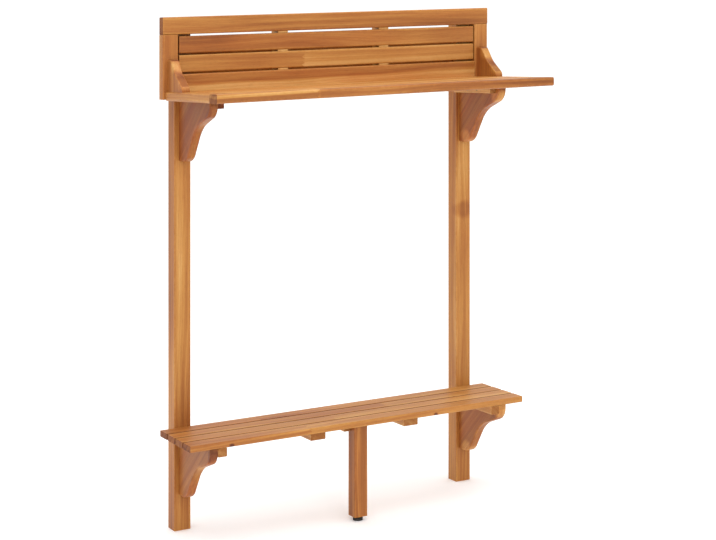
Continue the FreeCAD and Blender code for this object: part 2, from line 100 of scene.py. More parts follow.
class Wire:
    """A shader socket's output that takes part in Python sums."""

    def __init__(self, graph: "Graph", socket: bpy.types.NodeSocket) -> None:
        """Wraps one output socket of a graph."""
        self.graph = graph
        self.socket = socket

    def sum_with(self, operation: str, *values: "Value") -> "Wire":
        """Adds one Math node and gives its result."""
        return self.graph.add("ShaderNodeMath", {"operation": operation}, dict(enumerate(values)))["Value"]

    def __add__(self, other: "Value") -> "Wire":
        """Adds."""
        return self.sum_with("ADD", self, other)

    __radd__ = __add__

    def __sub__(self, other: "Value") -> "Wire":
        """Subtracts another value from this one."""
        return self.sum_with("SUBTRACT", self, other)

    def __rsub__(self, other: "Value") -> "Wire":
        """Subtracts this one from another value."""
        return self.sum_with("SUBTRACT", other, self)

    def __mul__(self, other: "Value") -> "Wire":
        """Multiplies."""
        return self.sum_with("MULTIPLY", self, other)

    __rmul__ = __mul__

    def __abs__(self) -> "Wire":
        """Drops the sign."""
        return self.sum_with("ABSOLUTE", self)

    def above(self, limit: Number) -> "Wire":
        """Gives 1 where this is over a limit, and otherwise 0."""
        return self.sum_with("GREATER_THAN", self, limit)

    def over(self, low: Number, high: Number) -> "Wire":
        """Rises smoothly from 0 to 1, or falls from 1 to 0 where low is the higher.

        Args:
            low: Where it is 0.
            high: Where it is 1.

        Returns:
            The result.
        """
        ends = {"From Min": min(low, high), "From Max": max(low, high)}
        ends |= {"To Min": float(low > high), "To Max": float(low < high)}
        settings = {"interpolation_type": "SMOOTHSTEP"}
        return self.graph.add("ShaderNodeMapRange", settings, {"Value": self, **ends})["Result"]


Value = Union[Wire, Number, Sequence[float], Vector]


class Outputs:
    """The outputs of a node, looked up by name or place."""

    def __init__(self, graph: "Graph", node: bpy.types.Node) -> None:
        """Keeps the node whose outputs these are."""
        self.graph = graph
        self.node = node

    def __getitem__(self, key: Union[str, int]) -> Wire:
        """Gives one output."""
        return Wire(self.graph, find_socket(self.node.outputs, key))


def find_socket(sockets: bpy.types.bpy_prop_collection, key: Union[str, int]) -> bpy.types.NodeSocket:
    """Finds a node's socket.

    Args:
        sockets: The node's inputs or outputs.
        key: The socket's place, or its own or shown name.

    Returns:
        The first socket that fits.
    """
    if isinstance(key, int):
        return sockets[key]
    return next(socket for socket in sockets if key in (socket.identifier, socket.name))


class Graph:
    """The nodes of one material or of the world."""

    seed_steps: Corner = (3.7, 5.3, 7.9)
    noise_roughness: float = 0.55
    line_seed_step: float = 11.3
    line_roughness: float = 0.6

    def __init__(self, owner: Union[bpy.types.Material, bpy.types.World]) -> None:
        """Clears the owner's nodes and starts with none.

        Args:
            owner: What the nodes belong to.
        """
        owner.use_nodes = True
        self.owner = owner
        self.tree = owner.node_tree
        self.tree.nodes.clear()

    def add(self, kind: str, settings: dict[str, object], inputs: dict[Union[str, int], Value]) -> Outputs:
        """Adds one node.

        Args:
            kind: The node's type.
            settings: What is set on the node itself; "stops" holds a ramp's places and colours.
            inputs: The values or wires of its sockets.

        Returns:
            The node's outputs.
        """
        node = self.tree.nodes.new(kind)
        for name, setting in settings.items():
            if name == "stops":
                self.set_stops(node.color_ramp, setting)
            else:
                setattr(node, name, setting)
        for key, value in inputs.items():
            socket = find_socket(node.inputs, key)
            if isinstance(value, Wire):
                self.tree.links.new(value.socket, socket)
            else:
                socket.default_value = value
        return Outputs(self, node)

    @staticmethod
    def set_stops(ramp: bpy.types.ColorRamp, stops: Sequence[tuple[float, Colour]]) -> None:
        """Gives a ramp its stops.

        Args:
            ramp: The ramp, which starts with two.
            stops: The place and the colour of each.
        """
        for place, shade in stops[1:-1]:
            ramp.elements.new(place).color = shade
        for element, (place, shade) in zip(ramp.elements, stops):
            element.position = place
            element.color = shade

    def vector(self, operation: str, *parts: Value) -> Outputs:
        """Adds one Vector Math node."""
        return self.add("ShaderNodeVectorMath", {"operation": operation}, dict(enumerate(parts)))

    def place(self, kind: str = "Object") -> Wire:
        """Gives the place on the piece, or the way that its face looks."""
        return self.add("ShaderNodeTexCoord", {}, {})[kind]

    def wear(self) -> Wire:
        """Gives how near an arris a place is, from 0 to 1."""
        return self.add("ShaderNodeAttribute", {"attribute_name": "wear"}, {})["Fac"]

    def bump(self, strength: float, depth: float, height: Wire) -> Wire:
        """Gives the way that a face looks once it has some relief."""
        inputs = {"Strength": strength, "Distance": depth, "Height": height}
        return self.add("ShaderNodeBump", {}, inputs)["Normal"]

    def noise(self, point: Wire, cells: Corner, seed: float, detail: float = 2.0) -> Outputs:
        """Adds a noise that is stretched along each axis.

        Args:
            point: Where the noise is read.
            cells: How many cells go to a metre along each axis.
            seed: What sets this noise apart from the others.
            detail: How many finer layers it has.

        Returns:
            The noise's outputs.
        """
        shift = tuple(seed * step for step in self.seed_steps)
        placed = self.vector("MULTIPLY_ADD", point, cells, shift)["Vector"]
        inputs = {"Vector": placed, "Scale": 1.0, "Detail": detail, "Roughness": self.noise_roughness}
        return self.add("ShaderNodeTexNoise", {"noise_dimensions": "3D"}, inputs)

    def line_noise(self, place: Wire, seed: float, detail: float) -> Wire:
        """Adds a noise along one line, which makes bands of uneven width.

        Args:
            place: Where the noise is read, in cells.
            seed: What sets this noise apart from the others.
            detail: How many finer layers it has.

        Returns:
            The noise.
        """
        moved = place + seed * self.line_seed_step
        inputs = {"W": moved, "Scale": 1.0, "Detail": detail, "Roughness": self.line_roughness}
        return self.add("ShaderNodeTexNoise", {"noise_dimensions": "1D"}, inputs)["Fac"]

    def blend(self, how: Blend, factor: Value, first: Value, second: Value) -> Wire:
        """Mixes two colours, the second on top by some factor."""
        inputs = {"Factor_Float": factor, "A_Color": first, "B_Color": second}
        return self.add(
            "ShaderNodeMix", {"data_type": "RGBA", "blend_type": how.value}, inputs,
        )["Result_Color"]

    def finish(self, shader: dict[Union[str, int], Value]) -> bpy.types.Material:
        """Adds the surface shader and the output.

        Args:
            shader: The values or wires of the shader's sockets.

        Returns:
            The finished material.
        """
        surface = self.add("ShaderNodeBsdfPrincipled", {}, shader)["BSDF"]
        self.add("ShaderNodeOutputMaterial", {}, {"Surface": surface})
        return self.owner


class Grain(Enum):
    """Which way a board's fibres run, as the order of X, Y and Z: along, across, through."""

    ALONG_X = ("X", "Z", "Y")
    ALONG_Y = ("Y", "X", "Z")
    ALONG_Z = ("Z", "X", "Y")

    @property
    def axis(self) -> int:
        """Gives the number of the axis along the fibres."""
        return "XYZ".index(self.value[0])

    def direction(self, lean: float) -> Vector:
        """Gives the way the fibres run.

        Args:
            lean: The degrees that they lean from along the board to through it.

        Returns:
            The way, one unit long.
        """
        turn = math.radians(lean)
        axes = {self.value[0]: math.cos(turn), self.value[2]: math.sin(turn)}
        return Vector(axes.get(name, 0.0) for name in "XYZ")


@dataclass(frozen=True)
class Band:
    """A paler or darker stripe that runs the length of a board."""

    middle: float
    half_width: float
    change: float


@dataclass(frozen=True)
class Joint:
    """A glued finger joint, where the next length of timber has another tone."""

    place: float
    change: float


@dataclass(frozen=True)
class Knot:
    """A small knot, at its place in the table."""

    place: Corner
    radius: float


@dataclass(frozen=True)
class Patch:
    """A paler or darker place that fades out round its middle, such as sapwood at a corner; some are painted
    light or painted shade.
    """

    place: Corner
    reach: Corner
    change: float


@dataclass(frozen=True)
class Timber:
    """How the timber of one board looks, with any light or shade painted on it, apart from what all of it has
    alike.
    """

    seed: float
    tone: float = 0.5
    rose: float = 0.3
    rise: float = 0.0
    figure: float = 1.0
    lean: float = 0.0
    bands: tuple[Band, ...] = ()
    joints: tuple[Joint, ...] = ()
    knots: tuple[Knot, ...] = ()
    patches: tuple[Patch, ...] = ()
    # Faces that look into a gap between boards, one way per entry, get painted shade.
    painted_gap_shade_sides: tuple[Corner, ...] = ()


@dataclass(frozen=True)
class OiledHardwood:
    """Hardwood under a satin oil, from its darkest streaks to its palest sapwood."""

    streak: Colour = colour(90, 43, 15)
    heart: Colour = colour(129, 73, 30)
    amber: Colour = colour(163, 102, 45)
    honey: Colour = colour(187, 130, 63)
    sap: Colour = colour(211, 165, 99)
    rose: Colour = colour(248, 222, 214)
    pore: Colour = colour(150, 120, 100)
    end: Colour = colour(200, 182, 170)
    # Painted shade for the faces that look into a gap between boards.
    painted_gap_shade: Colour = colour(150, 128, 112)
    roughness: float = 0.48
    specular: float = 0.25
    coat: float = 0.05
    relief: float = 0.00018
    pith: Corner = (0.0, 0.035, 0.05)
    sway: float = 0.03
    ring_cells: float = 420.0
    ring_weight: float = 0.25
    zone_cells: float = 90.0
    zone_weight: float = 0.4
    streak_weight: float = 0.5
    drift_weight: float = 0.5
    hair_weight: float = 0.3
    pore_weight: float = 0.35
    wear_weight: float = 0.1
    knot_weight: float = 0.6
    knot_core: float = 0.3
    band_fade: tuple[float, float] = (1.25, 0.75)
    patch_fade: tuple[float, float] = (1.25, 0.5)
    log_shift: tuple[float, float] = (0.37, 0.23)
    scuff_cells: Corner = (90.0, 90.0, 90.0)
    pore_cells: Corner = (70.0, 2600.0, 2600.0)
    hair_cells: Corner = (24.0, 1500.0, 1500.0)
    blush_cells: Corner = (2.6, 24.0, 24.0)
    sway_cells: Corner = (2.1, 9.0, 9.0)
    streak_cells: Corner = (3.5, 120.0, 120.0)
    drift_cells: Corner = (3.0, 14.0, 14.0)
    finger_width: float = 0.005
    finger_slope: float = 1.6

    def material(self, name: str, grain: Grain, centre: Vector, timber: Timber) -> bpy.types.Material:
        """Makes the material of one board.

        Args:
            name: The material's name.
            grain: Which way the fibres run.
            centre: The board's middle.
            timber: What sets this board apart.

        Returns:
            The material.
        """
        graph = Graph(bpy.data.materials.new(name))
        fibre = self.fibre_point(graph, grain, centre, timber)
        tone = self.tone(graph, fibre, timber)
        normal = graph.place("Normal")
        end = abs(self.facing(graph, normal, grain.direction(timber.lean))).over(0.6, 0.9)
        patchy = graph.noise(graph.place(), self.scuff_cells, timber.seed + 5)["Fac"].over(0.35, 0.65)
        worn = graph.wear() * (1 - end) * (0.35 + 0.65 * patchy)
        pores = graph.noise(fibre, self.pore_cells, timber.seed + 2, 1.0)["Fac"].over(0.6, 0.7)
        hairs = graph.noise(fibre, self.hair_cells, timber.seed + 3, 3.0)["Fac"]
        stops = zip((0.0, 0.27, 0.5, 0.73, 1.0), (self.streak, self.heart, self.amber, self.honey, self.sap))
        shade = tone + self.hair_weight * (hairs - 0.5) + self.wear_weight * worn
        base = graph.add("ShaderNodeValToRGB", {"stops": list(stops)}, {"Fac": shade})["Color"]
        blush = graph.noise(fibre, self.blush_cells, timber.seed + 4)["Fac"].over(0.38, 0.66)
        base = graph.blend(Blend.MULTIPLY, blush * timber.rose * 2, base, self.rose)
        base = graph.blend(Blend.MULTIPLY, pores * self.pore_weight, base, self.pore)
        base = graph.blend(Blend.MULTIPLY, end, base, self.end)
        # Painted shade: faces that look into a gap between boards are darkened, where shade falls.
        for side in timber.painted_gap_shade_sides:
            inside = self.facing(graph, normal, side).over(0.3, 0.9)
            base = graph.blend(Blend.MULTIPLY, inside, base, self.painted_gap_shade)
        return graph.finish({
            "Base Color": base,
            "Roughness": self.roughness + 0.2 * (hairs - 0.5) + 0.2 * end - 0.06 * worn,
            "Specular IOR Level": self.specular,
            "Coat Weight": self.coat,
            "Coat Roughness": 0.3,
            "Normal": graph.bump(0.5, self.relief, hairs * 0.5 + tone * 0.25 - pores * 0.5),
        })

    @staticmethod
    def facing(graph: Graph, normal: Wire, direction: Value) -> Wire:
        """Gives how far a face looks one way, from -1 to 1."""
        return graph.vector("DOT_PRODUCT", normal, direction)["Value"]

    def fibre_point(self, graph: Graph, grain: Grain, centre: Vector, timber: Timber) -> Wire:
        """Gives the place in the log that a place on the board was sawn from.

        Args:
            graph: The material's nodes.
            grain: Which way the fibres run.
            centre: The board's middle.
            timber: What sets this board apart.

        Returns:
            The place, with X along the fibres and the board's middle at 0.
        """
        centred = graph.vector("SUBTRACT", graph.place(), centre)["Vector"]
        parts = graph.add("ShaderNodeSeparateXYZ", {}, {"Vector": centred})
        along, across, through = (parts[axis] for axis in grain.value)
        if timber.lean:
            cosine, sine = math.cos(math.radians(timber.lean)), math.sin(math.radians(timber.lean))
            along, through = along * cosine + through * sine, through * cosine - along * sine
        if timber.joints:
            inputs = {0: across, 1: self.finger_width}
            finger = graph.add("ShaderNodeMath", {"operation": "PINGPONG"}, inputs)["Value"]
            reach = along + abs(finger) * self.finger_slope
            log_number = sum((reach.above(joint.place) for joint in timber.joints), 0.0)
            across = across + log_number * self.log_shift[0]
            through = through + log_number * self.log_shift[1]
        return graph.add("ShaderNodeCombineXYZ", {}, {"X": along, "Y": across, "Z": through})["Vector"]

    def tone(self, graph: Graph, fibre: Wire, timber: Timber) -> Wire:
        """Works out how dark or pale the timber is.

        Args:
            graph: The material's nodes.
            fibre: The place in the log.
            timber: What sets this board apart.

        Returns:
            The tone, from 0 for a dark streak to 1 for sapwood.
        """
        seed = timber.seed
        sway = graph.noise(fibre, self.sway_cells, seed + 1, 1.0)["Color"]
        swayed = graph.vector("MULTIPLY_ADD", sway, (0.0, self.sway, self.sway), fibre)["Vector"]
        from_pith = graph.vector("MULTIPLY_ADD", swayed, (0.0, 1.0, 1.0), self.pith)["Vector"]
        radius = graph.vector("LENGTH", from_pith)["Value"]
        rings = graph.line_noise(radius * self.ring_cells, seed, 3.0)
        zones = graph.line_noise(radius * self.zone_cells, seed + 7, 1.0)
        streaks = graph.noise(swayed, self.streak_cells, seed + 8, 3.0)["Fac"]
        drift = graph.noise(fibre, self.drift_cells, seed + 9, 1.0)["Fac"]
        figured = (
            self.zone_weight * (zones - 0.5) + self.ring_weight * (rings - 0.5)
            + self.streak_weight * (streaks - 0.5) + self.drift_weight * (drift - 0.5)
        )
        tone = timber.tone + timber.figure * figured
        parts = graph.add("ShaderNodeSeparateXYZ", {}, {"Vector": swayed})
        if timber.rise:
            tone = tone + parts["X"] * timber.rise
        for band in timber.bands:
            away = abs(parts["Y"] - (band.middle + self.sway / 2))
            outside, inside = (band.half_width * share for share in self.band_fade)
            tone = tone + away.over(outside, inside) * band.change
        for joint in timber.joints:
            tone = tone + parts["X"].above(joint.place) * joint.change
        place = graph.place()
        for knot in timber.knots:
            away = graph.vector("DISTANCE", place, knot.place)["Value"]
            tone = tone - away.over(knot.radius, knot.radius * self.knot_core) * self.knot_weight
        for patch in timber.patches:
            scale = [1.0 / reach for reach in patch.reach]
            shift = [-middle / reach for middle, reach in zip(patch.place, patch.reach)]
            scaled = graph.vector("MULTIPLY_ADD", place, scale, shift)["Vector"]
            away = graph.vector("LENGTH", scaled)["Value"]
            tone = tone + (away + (drift - 0.5)).over(*self.patch_fade) * patch.change
        return tone


@dataclass(frozen=True)
class Metal:
    """Plated or plain metal with fine scratches and duller patches."""

    base: Colour
    stain: Colour
    roughness: float
    relief: float = 0.00004
    stain_cells: Corner = (260.0, 260.0, 260.0)
    scratch_cells: Corner = (900.0, 5200.0, 900.0)

    def material(self, name: str) -> bpy.types.Material:
        """Makes the metal's material.

        Args:
            name: The material's name.

        Returns:
            The material.
        """
        graph = Graph(bpy.data.materials.new(name))
        stains = graph.noise(graph.place(), self.stain_cells, 1.0, 3.0)["Fac"].over(0.4, 0.7)
        scratches = graph.noise(graph.place(), self.scratch_cells, 2.0, 2.0)["Fac"]
        return graph.finish({
            "Base Color": graph.blend(Blend.MIX, stains * 0.6, self.base, self.stain),
            "Metallic": 1.0,
            "Roughness": self.roughness + 0.2 * stains + 0.2 * (scratches - 0.5),
            "Normal": graph.bump(0.4, self.relief, scratches),
        })


@dataclass(frozen=True)
class MouldedPlastic:
    """Black moulded plastic with a fine matt texture and scuffed rims."""

    base: Colour = colour(34, 32, 31)
    scuff: Colour = colour(96, 92, 88)
    relief: float = 0.00008
    grit_cells: Corner = (3000.0, 3000.0, 3000.0)
    scuff_cells: Corner = (240.0, 240.0, 900.0)

    def material(self, name: str) -> bpy.types.Material:
        """Makes the plastic's material.

        Args:
            name: The material's name.

        Returns:
            The material.
        """
        graph = Graph(bpy.data.materials.new(name))
        grit = graph.noise(graph.place(), self.grit_cells, 1.0, 2.0)["Fac"]
        scuffs = graph.noise(graph.place(), self.scuff_cells, 2.0, 4.0)["Fac"].over(0.52, 0.7)
        return graph.finish({
            "Base Color": graph.blend(Blend.MIX, scuffs * (0.15 + 0.5 * graph.wear()), self.base, self.scuff),
            "Roughness": 0.5 + 0.25 * (grit - 0.5) + 0.15 * scuffs,
            "Normal": graph.bump(0.5, self.relief, grit),
        })


@dataclass(frozen=True)
class ScrewHead:
    """Where a screw's head lies flush in a face, and how large it is."""

    place: Vector
    inwards: Vector
    radius: float


class Fixings:
    """The screws, dowels and threaded insert of the frame, which keep their own shapes."""

    screw_nodes: tuple[str, ...] = (
        "panel_batten_screws", "panel_post_screws", "rear_rail_screws", "top_batten_screws", "cheek_screws",
        "panel_edge_screws", "bracket_post_screws", "bracket_side_screws", "shelf_batten_screws",
        "leg_batten_screws",
    )
    dowel_nodes: tuple[str, ...] = (
        "panel_dowels", "rear_rail_dowels", "top_frame_dowels", "top_slat_dowels", "leg_dowels",
    )
    insert_node: str = "leg_insert"
    probe: float = 0.001
    digits: int = 6
    lengthwise: float = 0.9

    def __init__(self) -> None:
        """Finds every screw's head."""
        self.heads = [head for node in self.screw_nodes for head in self.find_heads(node)]

    def solids(self, node: str) -> Iterator[list[Vector]]:
        """Gives the corners of each separate solid of a node.

        Args:
            node: The node's name.

        Yields:
            The corners of one solid.
        """
        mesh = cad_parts[node].data
        keys = [tuple(round(value, self.digits) for value in vertex.co) for vertex in mesh.vertices]
        group = {key: key for key in keys}

        def root(key: Corner) -> Corner:
            """Follows a corner to the one that stands for its solid.

            Args:
                key: The corner.

            Returns:
                The corner that stands for its solid.
            """
            while group[key] != key:
                group[key] = group[group[key]]
                key = group[key]
            return key

        for face in mesh.polygons:
            first, *others = (keys[index] for index in face.vertices)
            for other in others:
                group[root(other)] = root(first)
        gathered: dict[Corner, list[Vector]] = {}
        for key in group:
            gathered.setdefault(root(key), []).append(Vector(key))
        yield from gathered.values()

    def find_heads(self, node: str) -> Iterator[ScrewHead]:
        """Finds the heads of a node's screws.

        Args:
            node: The node's name.

        Yields:
            One head, at the end of the screw where it is widest.
        """
        for corners in self.solids(node):
            low = Vector(min(corner[i] for corner in corners) for i in range(3))
            high = Vector(max(corner[i] for corner in corners) for i in range(3))
            size = high - low
            axis = max(range(3), key=lambda i: size[i])
            middle = (low + high) / 2
            ways = [corner - middle for corner in corners]
            widest = max(ways, key=lambda way: way.length - abs(way[axis]) * self.lengthwise)
            place, inwards = middle.copy(), Vector()
            place[axis] = high[axis] if widest[axis] > 0 else low[axis]
            inwards[axis] = -1.0 if widest[axis] > 0 else 1.0
            yield ScrewHead(place, inwards, sorted(size)[1] / 2)

    def heads_in(self, node: str) -> list[ScrewHead]:
        """Gives the heads that lie in a node's faces.

        Args:
            node: The node's name.

        Returns:
            Each head that is on the skin of the node's box and whose screw goes into it.
        """
        low, high = corners_of(node)

        def is_inside(spot: Vector, spare: float) -> bool:
            """Says whether a place is in the node's box, or past it by less than a spare distance."""
            return all(low[i] - spare < spot[i] < high[i] + spare for i in range(3))

        return [
            head for head in self.heads
            if is_inside(head.place, TOUCH) and is_inside(head.place + head.inwards * self.probe, 0.0)
        ]

    def dress(self, steel: Metal, beech: OiledHardwood, brass: Metal) -> None:
        """Gives the fixings their finishes.

        Args:
            steel: The screws' plating.
            beech: The dowels' timber.
            brass: The insert's metal.
        """
        plating = steel.material("zinc_plated_steel")
        for node in self.screw_nodes:
            self.repaint(node, plating)
        self.repaint(self.insert_node, brass.material("insert_brass"))
        for place, node in enumerate(self.dowel_nodes):
            low, high = corners_of(node)
            timber = Timber(seed=70.0 + place, tone=0.85, rose=0.1, figure=0.4)
            self.repaint(node, beech.material(node, Grain.ALONG_X, (low + high) / 2, timber))
        log.info("fixings: %d screws, %d nodes of dowels, 1 insert", len(self.heads), len(self.dowel_nodes))

    @staticmethod
    def repaint(node: str, material: bpy.types.Material) -> None:
        """Puts a material in every slot of a node."""
        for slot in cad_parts[node].material_slots:
            slot.material = material


class Element(Enum):
    """Which parts of a mesh are selected."""

    CORNER = 0
    EDGE = 1
    FACE = 2


class Shaping(Enum):
    """What a tool does to a piece."""

    ADD = "UNION"
    CUT = "DIFFERENCE"


class Bench:
    """What is done at the bench: adding, shaping and finishing a piece."""

    drill_sides: int = 28
    drill_spare: float = 0.0004
    head_ease: float = 0.00035
    head_depth: float = 0.7
    head_point: float = 0.45
    broad_rims: int = 3
    crease: float = math.radians(40)
    flat_weight: int = 80

    @staticmethod
    def clear() -> None:
        """Deselects everything, in object mode."""
        if bpy.context.mode != "OBJECT":
            bpy.ops.object.mode_set(mode="OBJECT")
        bpy.ops.object.select_all(action="DESELECT")

    @staticmethod
    def take(piece: Piece) -> None:
        """Makes a piece the only one selected, and the active one.

        Args:
            piece: The piece.
        """
        Bench.clear()
        piece.select_set(True)
        bpy.context.view_layer.objects.active = piece

    @staticmethod
    def name(name: str) -> Piece:
        """Names the active object and its mesh, and sets its place in its mesh.

        Args:
            name: The name.

        Returns:
            The object.
        """
        piece = bpy.context.object
        piece.name = piece.data.name = name
        bpy.ops.object.transform_apply(location=True, rotation=True, scale=True)
        return piece

    @staticmethod
    def block(name: str, low: Vector, high: Vector) -> Piece:
        """Adds a sawn block.

        Args:
            name: Its name.
            low: Its lowest corner.
            high: Its highest corner.

        Returns:
            The block.
        """
        Bench.clear()
        bpy.ops.mesh.primitive_cube_add(size=1.0, location=(low + high) / 2, scale=high - low)
        return Bench.name(name)

    @staticmethod
    def bar(
        name: str, sides: int, radius: float, axis: Vector, ends: tuple[float, float], turn: float = 0.0,
    ) -> Piece:
        """Adds an upright bar, round or with flats.

        Args:
            name: Its name.
            sides: How many sides it has.
            radius: Its radius at the corners.
            axis: A place on its axis.
            ends: The levels of its lower and upper end.
            turn: How far it is turned.

        Returns:
            The bar.
        """
        Bench.clear()
        bpy.ops.mesh.primitive_cylinder_add(
            vertices=sides, radius=radius, depth=ends[1] - ends[0], location=(axis.x, axis.y, sum(ends) / 2),
            rotation=(0.0, 0.0, turn),
        )
        return Bench.name(name)

    @staticmethod
    def select(piece: Piece, kind: Element, wanted: Callable[[object], bool]) -> None:
        """Selects part of a piece in edit mode.

        Args:
            piece: The piece.
            kind: What is selected.
            wanted: Says whether a corner, edge or face is wanted.
        """
        Bench.take(piece)
        mesh = piece.data
        bpy.context.tool_settings.mesh_select_mode = [each is kind for each in Element]
        for each, parts in zip(Element, (mesh.vertices, mesh.edges, mesh.polygons)):
            parts.foreach_set("select", [each is kind and bool(wanted(part)) for part in parts])
        bpy.ops.object.mode_set(mode="EDIT")

    @staticmethod
    def ease(piece: Piece, wanted: Callable[[Vector, Vector], bool], width: float, segments: int) -> None:
        """Rounds some of a piece's edges.

        Args:
            piece: The piece.
            wanted: Says whether an edge is rounded, from its two ends.
            width: How far in from the edge the round starts.
            segments: How many facets it has.
        """
        def is_wanted(edge: bpy.types.MeshEdge) -> bool:
            """Says whether an edge is rounded."""
            return wanted(*(piece.data.vertices[index].co for index in edge.vertices))

        Bench.select(piece, Element.EDGE, is_wanted)
        bpy.ops.mesh.bevel(offset=width, offset_type="OFFSET", segments=segments, profile=0.5, affect="EDGES")
        bpy.ops.object.mode_set(mode="OBJECT")

    @staticmethod
    def move_corners(piece: Piece, targets: Sequence[Vector]) -> None:
        """Moves a piece's corners.

        Args:
            piece: The piece.
            targets: Where they go, in their order.
        """
        for index, target in enumerate(targets):
            shift = target - piece.data.vertices[index].co
            Bench.select(piece, Element.CORNER, lambda vertex, index=index: vertex.index == index)
            bpy.ops.transform.translate(value=shift)
            Bench.clear()

    @staticmethod
    def set_wear(piece: Piece, worn: Callable[[bpy.types.MeshVertex], float]) -> None:
        """Writes down how worn each corner of a piece is, from 0 to 1."""
        wear = piece.data.attributes.new("wear", "FLOAT", "POINT")
        wear.data.foreach_set("value", [worn(vertex) for vertex in piece.data.vertices])

    @staticmethod
    def wear_arrises(piece: Piece, rim: float, axes: Sequence[int]) -> None:
        """Insets the broad faces and marks the corners outside them as worn.

        Args:
            piece: The piece, rounded.
            rim: How far in from an arris the wear fades out.
            axes: The numbers of the axes that the broad faces look along.
        """
        broad = (Bench.broad_rims * rim) ** 2

        def is_broad(face: bpy.types.MeshPolygon) -> bool:
            """Says whether a face is flat, broad and looks along one of the axes."""
            return face.area > broad and any(abs(face.normal[axis]) > 0.9999 for axis in axes)

        Bench.select(piece, Element.FACE, is_broad)
        bpy.ops.mesh.inset(thickness=rim, use_individual=True)
        bpy.ops.object.mode_set(mode="OBJECT")
        Bench.set_wear(piece, lambda vertex: 0.0 if vertex.select else 1.0)

    @staticmethod
    def apply(piece: Piece, kind: str, **settings: object) -> None:
        """Adds a modifier and applies it.

        Args:
            piece: The piece.
            kind: The modifier's type.
            **settings: What is set on it.
        """
        Bench.take(piece)
        modifier = piece.modifiers.new(kind.title(), kind)
        for key, setting in settings.items():
            setattr(modifier, key, setting)
        bpy.ops.object.modifier_apply(modifier=modifier.name)

    @staticmethod
    def combine(piece: Piece, how: Shaping, tools: Sequence[Piece]) -> None:
        """Adds some tools' shapes to a piece or cuts them out, and puts the tools away.

        Args:
            piece: The piece.
            how: What the tools do to it.
            tools: The tools.
        """
        for tool in tools:
            Bench.apply(piece, "BOOLEAN", operation=how.value, solver="EXACT", object=tool)
            bpy.data.objects.remove(tool)

    @staticmethod
    def smooth(piece: Piece) -> None:
        """Shades the rounds smooth and keeps the planed faces flat.

        Args:
            piece: The piece.
        """
        Bench.take(piece)
        bpy.ops.object.shade_smooth_by_angle(angle=Bench.crease)
        Bench.apply(piece, "WEIGHTED_NORMAL", mode="FACE_AREA", keep_sharp=True, weight=Bench.flat_weight)

    @staticmethod
    def drill(start: Vector, inwards: Vector, mouth: float, end: float, depth: float) -> Piece:
        """Adds a tapered or straight drill.

        Args:
            start: The middle of the hole's mouth.
            inwards: The way it goes in.
            mouth: Its radius at the mouth.
            end: Its radius at the end.
            depth: How deep it goes.

        Returns:
            The tool.
        """
        Bench.clear()
        spare = Bench.drill_spare
        bpy.ops.mesh.primitive_cone_add(
            vertices=Bench.drill_sides, radius1=mouth + (mouth - end) / depth * spare, radius2=end,
            depth=depth + spare, location=start + inwards * (depth - spare) / 2,
            rotation=inwards.to_track_quat("Z", "Y").to_euler(),
        )
        return Bench.name("drill")

    @staticmethod
    def countersink(head: ScrewHead) -> Piece:
        """Adds the countersink drill for a screw's head.

        Args:
            head: The head.

        Returns:
            The tool.
        """
        mouth, end = (head.radius * share + Bench.head_ease for share in (1.0, Bench.head_point))
        return Bench.drill(head.place, head.inwards, mouth, end, head.radius * Bench.head_depth)

    @staticmethod
    def hand_over(piece: Piece, node: str, body: str, slot: str, material: bpy.types.Material) -> None:
        """Dresses a piece and puts it in its node's place.

        Args:
            piece: The piece.
            node: The node that it stands for.
            body: The body that it moves with.
            slot: The record's material slot; not used.
            material: Its material.
        """
        piece.data.materials.clear()
        piece.data.materials.append(material)
        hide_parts(node)
        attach(piece, body)
        log.info("%s: %d faces", node, len(piece.data.polygons))


